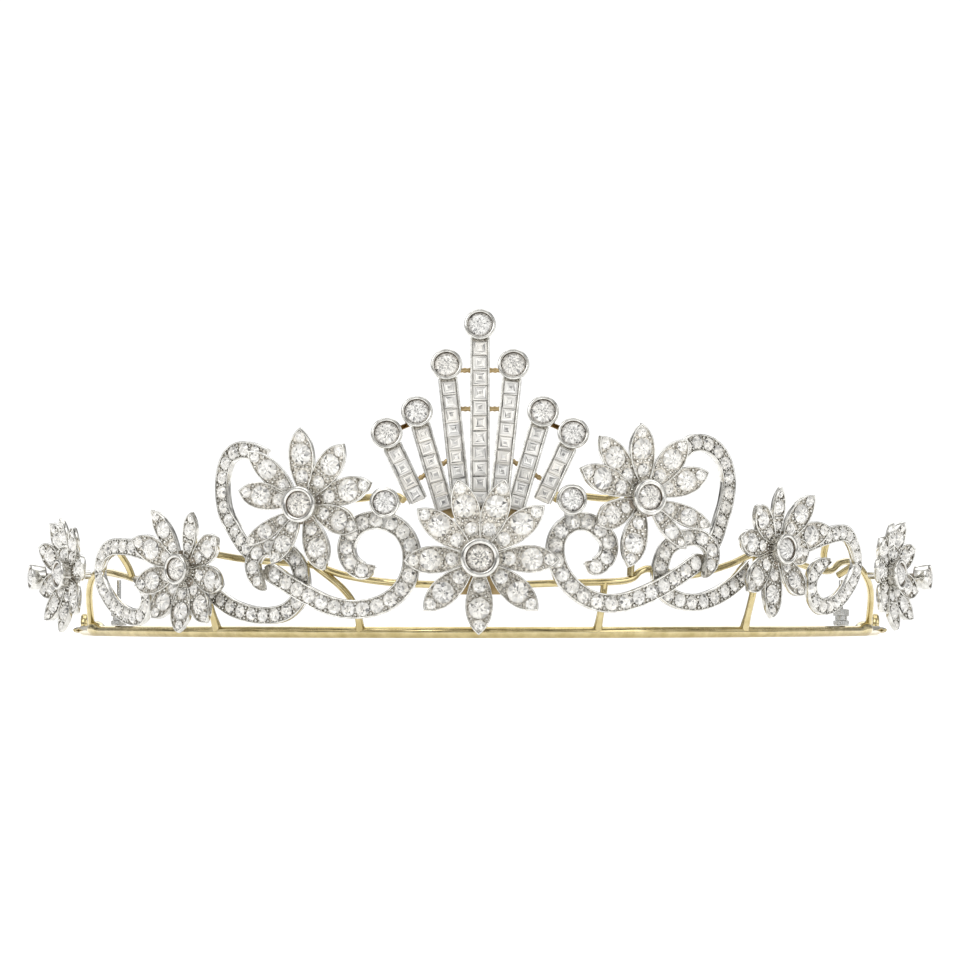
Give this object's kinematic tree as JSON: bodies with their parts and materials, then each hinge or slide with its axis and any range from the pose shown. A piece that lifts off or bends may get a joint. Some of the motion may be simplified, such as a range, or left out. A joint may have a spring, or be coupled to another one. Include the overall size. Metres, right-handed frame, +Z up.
{
  "type": "fringe tiara",
  "caption": "Diamond tiara with a central fringe of graduated stone-set rays over a flower, ribbon scrolls and flowers on each side, on an open gold frame with rear eyelets.",
  "frame": {"origin": "middle of the bounding box seen from above, at the floor that the rail lies on", "axes": "+X to the right of a viewer in front, +Y towards the open rear, so the fringe faces -Y, +Z up"},
  "size_m": [0.1698, 0.1266, 0.0561],
  "materials": {
    "yellow_gold": "polished",
    "white_metal": "polished",
    "diamond": "faceted",
    "steel": "satin"
  },
  "bodies": {
    "root": {"gold_frame": "yellow_gold", "fringe_rays": "white_metal", "fringe_stone_1": "diamond", "fringe_stone_2": "diamond", "fringe_stone_3": "diamond", "fringe_stone_4": "diamond", "fringe_stone_5": "diamond", "fringe_stone_6": "diamond", "fringe_stone_7": "diamond", "centre_flower": "white_metal", "centre_stone": "diamond", "left_scroll": "white_metal", "left_scroll_stone": "diamond", "left_ribbon": "white_metal", "left_curl": "white_metal", "left_large_flower": "white_metal", "left_large_stone": "diamond", "left_middle_flower": "white_metal", "left_middle_stone": "diamond", "left_end_flower": "white_metal", "left_end_stone": "diamond", "left_terminal_stone": "diamond", "left_screw_post": "steel", "right_scroll": "white_metal", "right_scroll_stone": "diamond", "right_ribbon": "white_metal", "right_curl": "white_metal", "right_large_flower": "white_metal", "right_large_stone": "diamond", "right_middle_flower": "white_metal", "right_middle_stone": "diamond", "right_end_flower": "white_metal", "right_end_stone": "diamond", "right_terminal_stone": "diamond", "right_screw_post": "steel"}
  },
  "joints": []
}
